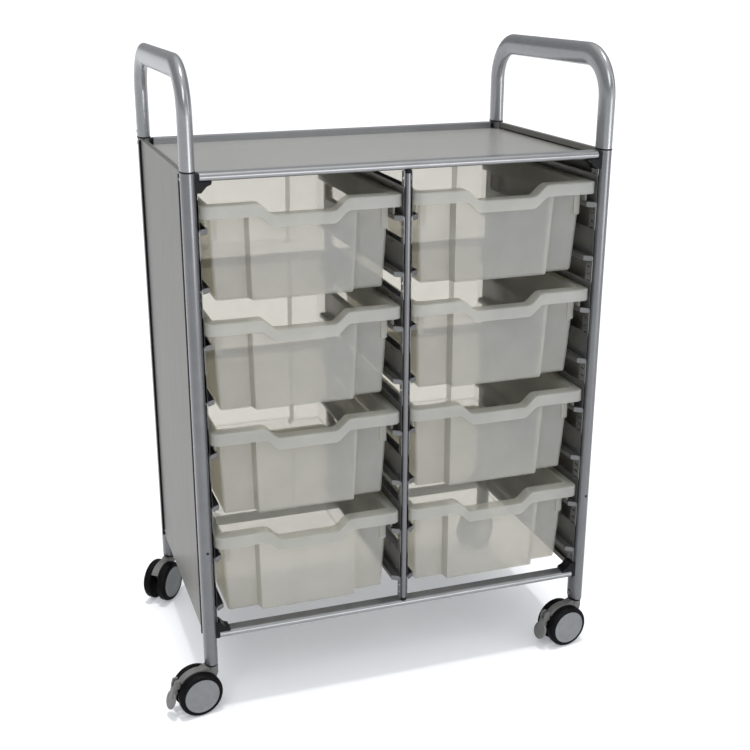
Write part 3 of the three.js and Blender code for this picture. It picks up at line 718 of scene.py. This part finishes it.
# ---------------------------------------------------------------- runners
def runner_section():
    """One runner as (x, z) reaching towards +X, with its folds rounded."""
    reach, thin = RUNNER_REACH, SHEET
    fold = (reach - RUNNER_FOLD, RUNNER_FOLD)
    section = [(0, 6.6 * MM), (0.6 * MM, 5.9 * MM), (8 * MM, 0.4 * MM), (9 * MM, 0)]
    section += arc(fold, RUNNER_FOLD, 270, 360, 4)
    section += arc((reach - thin / 2, RUNNER_LIP - thin / 2), thin / 2, 0, 180, 6)
    section += arc(fold, RUNNER_FOLD - thin, 360, 270, 4)
    section += [(9.4 * MM, thin), (8.6 * MM, thin + 0.4 * MM), (1.7 * MM, 6.6 * MM), (thin, 7.4 * MM)]
    section += [(thin, RUNNER_TALL), (0, RUNNER_TALL)]
    return section


def add_dimple(shape, x, y, z):
    """A flat pill pressed out of a plate, standing proud towards +X."""
    rings = []
    for share, rise in ((1, 0), (0.94, 0.5), (0.75, 0.85), (0.4, 1)):
        outline = oval(DIMPLE_HALF[0] * share, DIMPLE_HALF[1] * share, 20)
        rings.append([Vector((x + DIMPLE_PROUD * rise, y + u, z + v)) for u, v in outline])
    shape.loft(rings)


def add_strip(shape, near, far, low, high, slot_long):
    """An upright strip with a ladder of slots, from y = near (its free edge) to far."""
    y_low, y_high = min(near, far), max(near, far)
    gap = (y_high - y_low - slot_long) / 2
    shape.box((0, y_low, low), (STRIP_SHEET, y_low + gap, high))
    shape.box((0, y_high - gap, low), (STRIP_SHEET, y_high, high))
    pitch = RUNNER_PITCH / SLOTS_PER_LEVEL
    z = low
    while z < high - pitch:
        shape.box((0, y_low + gap, z), (STRIP_SHEET, y_high - gap, z + pitch - SLOT_TALL))
        z += pitch
    shape.box((0, y_low + gap, z), (STRIP_SHEET, y_high - gap, high))


def add_runner(shape, z, end):
    """One runner: its section lofted from front to rear, the lip's corners cut back at both ends."""
    rings = []
    for y in (-end, -end + RUNNER_CHAMFER, end - RUNNER_CHAMFER, end):
        reach = RUNNER_REACH if abs(y) < end - 1 * MM else SHEET + 1 * MM
        rings.append([Vector((min(u, reach), y, z + v)) for u, v in runner_section()])
    shape.loft(rings)
    face = SHEET - 0.2 * MM
    for sign in (-1, 1):
        for inward, up in DIMPLES:
            add_dimple(shape, face, sign * (end - inward), z + up)


def add_runner_frames():
    """Each frame is eight runners hooked into two upright strips; some face left and some right."""
    kinds = [("runners_centre_left", -1, 11 * MM, 7 * MM), ("runners_centre_right", 1, 11 * MM, 7 * MM)]
    kinds += [("runners_left", 1, 20 * MM, 11 * MM), ("runners_right", -1, 20 * MM, 11 * MM)]
    for node, towards, deep, slot_long in kinds:
        low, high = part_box(node)
        end = (high.y - low.y) / 2
        shape = Shape()
        for sign in (-1, 1):
            add_strip(shape, sign * end, sign * (end - deep), low.z, high.z, slot_long)
        for level in range(RUNNER_LEVELS):
            add_runner(shape, high.z - RUNNER_DROP - level * RUNNER_PITCH, end)
        turn = Matrix.Rotation(0 if towards > 0 else math.pi, 4, "Z")
        back = low.x if towards > 0 else high.x
        shape.moved(Matrix.Translation((back, middle(node).y, 0)) @ turn)
        piece = shape.piece(f"folded_{node}", [RUNNER_METAL], 28)
        settle(piece, "frame", "runner_metal", node)


# ---------------------------------------------------------------- casters
def caster_place(name):
    """The matrix from a caster's own frame, stem at the origin and wheels towards +X, to the cart."""
    post = middle(f"post_{name}")
    hub = (middle(f"caster_wheel_{name}_a") + middle(f"caster_wheel_{name}_b")) / 2
    angle = math.atan2(hub.y - post.y, hub.x - post.x)
    trail = math.hypot(hub.x - post.x, hub.y - post.y)
    return Matrix.Translation((post.x, post.y, 0)) @ Matrix.Rotation(angle, 4, "Z"), (trail, hub.z)


def tyre_profile(radius):
    """The tyre as (radius, distance outward), from its inner edge over the tread to the hub cap."""
    tread = [(radius - 1.2 * MM, WHEEL_INNER), (radius - 0.3 * MM, WHEEL_INNER + 0.8 * MM)]
    tread += [(radius, WHEEL_INNER + 2.5 * MM), (radius, WHEEL_OUTER - WHEEL_SHOULDER)]
    tread += arc((radius - WHEEL_SHOULDER, WHEEL_OUTER - WHEEL_SHOULDER), WHEEL_SHOULDER, 10, 80, 7)
    return tread + [(CAP_RADIUS + 0.6 * MM, WHEEL_OUTER), (CAP_RADIUS + 0.3 * MM, WHEEL_OUTER - 1.5 * MM)]


def cap_profile():
    """The hub cap as (radius, distance outward): a rounded rim round a slightly domed face."""
    cap = [(CAP_RADIUS, WHEEL_OUTER - 1.5 * MM), (CAP_RADIUS, WHEEL_OUTER - 0.2 * MM)]
    cap += [(CAP_RADIUS - 0.5 * MM, WHEEL_OUTER + 0.1 * MM), (CAP_RADIUS - 1.6 * MM, WHEEL_OUTER)]
    cap += [(CAP_RADIUS - 2.4 * MM, WHEEL_OUTER - 0.5 * MM)]
    return cap + [(CAP_RADIUS * (0.85 - 0.15 * k), WHEEL_OUTER + (-0.5 + 0.1 * k) * MM) for k in range(1, 6)]


def add_groove_highlight(shape, centre, radius, sign):
    """A painted highlight: a thin grey ridge along the top of the tyre's outer side, for the lit edge of a
    groove there.
    """
    rings = []
    for step in range(13):
        turn = math.radians(78 + 5 * step)
        ring = []
        for u, v in oval(GROOVE_GLINT_HALF, GROOVE_GLINT_HALF, 6):
            reach = radius - GROOVE_GLINT_INSET + u
            out = sign * (WHEEL_OUTER - 1.5 * MM + v)
            ring.append(centre + Vector((-reach * math.cos(turn), out, reach * math.sin(turn))))
        rings.append(ring)
    shape.loft(rings, 1)


def add_wheels(name, place, hub):
    low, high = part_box(f"caster_wheel_{name}_a")
    radius = (high.z - low.z) / 2
    centre = Vector((hub[0], 0, hub[1]))
    for label, sign in (("a", -1), ("b", 1)):
        shape = Shape()
        shape.turn("y", centre, [(r, sign * d) for r, d in tyre_profile(radius)], 96)
        shape.turn("y", centre, [(r, sign * d) for r, d in cap_profile()], 96, 1)
        add_groove_highlight(shape, centre, radius, sign)
        shape.moved(place)
        wheel = shape.piece(f"wheel_{name}_{label}_moulded", [TYRE, CAP_GREY], 35)
        settle(wheel, f"wheel_{name}_{label}", "tyre", f"caster_wheel_{name}_{label}")


def add_stem(name):
    """The black insert under the post's cut end, with its pin, steel on the real caster, made in the same
    black and hidden in the housing.
    """
    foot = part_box(f"post_{name}")[0].z
    post = middle(f"post_{name}")
    spot = (post.x, post.y)
    shape = Shape()
    shape.prism("z", oval(*COLLAR_HALF, 64, spot), CASTER_TOP + HAIR, foot - HAIR)
    shape.prism("z", oval(STEM_RADIUS, STEM_RADIUS, 32, spot), CASTER_TOP - STEM_LONG, foot)
    plug = oval(COLLAR_HALF[0] - 1.5 * MM, COLLAR_HALF[1], 48, spot)
    shape.prism("z", plug, foot - 2 * HAIR, foot + STEM_LONG)
    piece = shape.piece(f"insert_{name}", [BLACK])
    settle(round_corners(piece, 1.2 * MM, 3), "frame", "black_plastic", f"caster_stem_{name}")


def add_housing(name, place, hub):
    """The fork between the wheels: a round column, the hood over the wheels and, in front, a lug."""
    hub_x, hub_z = hub
    outline = [(-COLUMN_HALF, CASTER_TOP), (-COLUMN_HALF, 64 * MM), (-COLUMN_HALF + 4 * MM, 54 * MM)]
    outline += [(hub_x - 11 * MM, hub_z - 6 * MM)]
    outline += arc(hub, 9 * MM, 225, 360, 16) + [(hub_x + 12 * MM, hub_z + 18 * MM)]
    outline += arc(hub, HOOD_RADIUS - HOOD_WALL, 60, HOOD_END, 6)
    outline += arc(hub, HOOD_RADIUS, HOOD_END, 98, 24)
    outline += [(COLUMN_HALF + 2 * MM, CASTER_TOP - 0.8 * MM), (COLUMN_HALF, CASTER_TOP)]
    shape = Shape()
    shape.prism("y", outline, -HOOD_HALF, HOOD_HALF)
    column = [(COLUMN_HALF - 1 * MM, 72 * MM), (COLUMN_HALF, 73 * MM), (COLUMN_HALF, CASTER_TOP - 0.8 * MM)]
    shape.turn("z", (0, 0, 0), column + [(COLUMN_HALF - 0.8 * MM, CASTER_TOP)], 48)
    if name.startswith("front"):
        pivot_x, pivot_z = PEDAL_PIVOT
        lug = [(hub_x + 5 * MM, hub_z + 9 * MM), (hub_x + 7 * MM, hub_z + 2 * MM)]
        lug += [(pivot_x + 1 * MM, pivot_z - 5 * MM)] + arc(PEDAL_PIVOT, LUG_RADIUS, -60, 110, 12)
        shape.prism("y", lug + [(pivot_x - 10 * MM, pivot_z + 4 * MM)], -LUG_HALF, LUG_HALF)
    shape.moved(place)
    piece = shape.piece(f"fork_{name}", [GREY])
    settle(round_corners(piece, 0.8 * MM, 3), f"caster_{name}", "grey_plastic", f"caster_housing_{name}")


def add_pedal(name, place):
    """The brake pedal: a ribbed block, an arm and a round paddle."""
    x, z = PEDAL_PIVOT
    end_x, end_z = PADDLE_MIDDLE
    block = [(-3, -6), (6, -9), (9, -2), (5.5, 9), (-2.5, 9.5)]
    arm = [(x + 4 * MM, z - 4 * MM), (x + 1.5 * MM, z - 14 * MM), (end_x - 4 * MM, end_z + 2 * MM)]
    arm += [(end_x, end_z - 8 * MM), (end_x + 2 * MM, end_z), (x + 9 * MM, z - 3 * MM)]
    shape = Shape()
    slot_half = 3.2 * MM
    for sign in (-1, 1):
        near, far = sorted((sign * slot_half, sign * HOOD_HALF))
        shape.prism("y", [(x + u * MM, z + v * MM) for u, v in block], near, far)
    shape.prism("y", arm, -HOOD_HALF + 1 * MM, HOOD_HALF - 1 * MM)
    start = len(shape.verts)
    rim, half = PADDLE_RADIUS, PADDLE_THICK / 2
    disc = [(rim - 1.6 * MM, -half), (rim - 0.5 * MM, -half + 0.5 * MM), (rim, -half + 1.6 * MM)]
    disc += [(rim, half - 1.6 * MM), (rim - 0.5 * MM, half - 0.5 * MM), (rim - 1.6 * MM, half)]
    shape.turn("z", (0, 0, 0), disc + [(rim * 0.5, half - 0.4 * MM)], 48)
    lean = Matrix.Rotation(math.radians(90 - PADDLE_LEAN), 4, "Y")
    shape.moved(Matrix.Translation((end_x, 0, end_z)) @ lean, start)
    shape.moved(place)
    piece = shape.piece(f"pedal_{name}_moulded", [GREY], 38)
    settle(round_corners(piece, 0.7 * MM, 3), f"pedal_{name}", "grey_plastic", f"brake_pedal_{name}")


def add_casters():
    for end, _ in ENDS:
        for side, _ in SIDES:
            name = f"{end}_{side}"
            place, hub = caster_place(name)
            add_wheels(name, place, hub)
            add_stem(name)
            add_housing(name, place, hub)
            if end == "front":
                add_pedal(name, place)


# ---------------------------------------------------------------- small trim
def add_screw(shape, place, axis, sign, radius):
    """A domed screw head with a socket, its flat face against place and its head out along the axis."""
    head = [(radius, 0), (radius, 0.5 * MM), (radius * 0.86, 1.0 * MM), (radius * 0.45, 1.3 * MM)]
    head += [(radius * 0.4, 0.5 * MM)]
    shape.turn(axis, place, [(r, sign * d) for r, d in head], 24)


def add_plug(shape, axis, place, radius, sign):
    """A shallow round plug that closes a hole in a post."""
    profile = [(radius, 0), (radius, sign * 0.3 * MM), (radius - 0.8 * MM, sign * 0.4 * MM)]
    shape.turn(axis, place, profile, 24)


def add_seal_and_groove_shade(shape, face, edge, sign, toward, low, high):
    """A black strip that fills the corner between a side panel's edge and its post: partly the seal there,
    partly painted shade for the dark groove beside it.
    """
    outline = [(-4, 0.4), (3.4, 0.4), (4, 2.2), (3.2, 5.2), (2.2, 5.8), (0.4, 3.2), (-1.9, 1)]
    points = [(face + sign * u * MM, edge + toward * v * MM) for u, v in outline]
    shape.prism("z", points, low, high)


def add_trim():
    """Screws beside the rings, the black strips along the side panels' edges (partly seal, partly painted
    groove shade) and the plugged holes.
    """
    for side, sign in SIDES:
        screws, strips, plugs = Shape(), Shape(), Shape()
        panel_low, panel_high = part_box(f"side_panel_{side}")
        face = panel_low.x if sign < 0 else panel_high.x
        for end, toward in ENDS:
            post_low, post_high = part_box(f"post_{end}_{side}")
            post, half = (post_low + post_high) / 2, (post_high - post_low) / 2
            for z in (post_high.z + GASKET + SCREW_STEP, post_high.z - SCREW_STEP):
                add_screw(screws, (post.x + sign * (half.x - 0.15 * MM), post.y, z), "x", sign, 2.6 * MM)
            corner = (face, post.y - toward * PANEL_SCREW[0], panel_low.z + PANEL_SCREW[1])
            add_screw(screws, corner, "x", sign, 2.4 * MM)
            edge = panel_high.y if toward > 0 else panel_low.y
            add_seal_and_groove_shade(strips, face, edge, sign, toward, panel_low.z + 1 * MM, panel_high.z - 2 * MM)
            front_hole = (post.x, post.y - half.y + 0.1 * MM, post_low.z + POST_HOLE_UP)
            add_plug(plugs, "y", front_hole, 2.2 * MM, -1)
            side_hole = (post.x - sign * (half.x - 0.1 * MM), post.y, post_low.z + SIDE_HOLE_UP)
            add_plug(plugs, "x", side_hole, 2.6 * MM, -sign)
        settle(screws.piece(f"screws_{side}", [STEEL]), "frame", "axle_steel")
        settle(strips.piece(f"seal_and_groove_shade_strips_{side}", [BLACK]), "frame", "black_plastic")
        settle(plugs.piece(f"hole_plugs_{side}", [BLACK]), "frame", "black_plastic")


# ---------------------------------------------------------------- carried-over CAD nodes
def dress(node, material, edge):
    """A CAD node whose shape stays, with its own material and softened edges."""
    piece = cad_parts[node]
    piece.data.materials.clear()
    piece.data.materials.append(material)
    piece.data.shade_smooth()
    piece.data.set_sharp_from_angle(angle=math.radians(32))
    round_corners(piece, edge)


def dress_nodes():
    dress("top_panel", LIT_PANEL_PAINT, 0.4 * MM)
    for side, _ in SIDES:
        dress(f"side_panel_{side}", PANEL_PAINT, 0.4 * MM)
        for end, _ in ENDS:
            dress(f"caster_axle_{end}_{side}", STEEL, 0.3 * MM)
            for level in ("top", "bottom"):
                dress(f"bracket_{level}_{end}_{side}", BLACK, 0.6 * MM)


add_camera()
add_world()
add_floor()
add_overhead_light()
add_soft_light("key", (-1.6, -2.4, 3.0), (0, 0, 0.5), (1.6, 1.6), 45, (1.0, 0.99, 0.97))
add_soft_light("front", (0.4, -3.4, 1.0), (0, 0, 0.45), (2.6, 1.8), 22, (1.0, 1.0, 1.0))
add_soft_light("low", (0.9, -2.6, 0.45), (0, 0, 0.2), (2.0, 0.6), 17, (1.0, 1.0, 1.0))
add_soft_light("fill", (2.6, -1.6, 1.8), (0, 0, 0.5), (1.4, 2.0), 18, (0.96, 0.98, 1.0))
add_posts()
add_handles()
add_rails()
add_centre_posts()
add_trays()
add_runner_frames()
add_casters()
add_trim()
dress_nodes()

bpy.context.scene.view_settings.view_transform = "Standard"
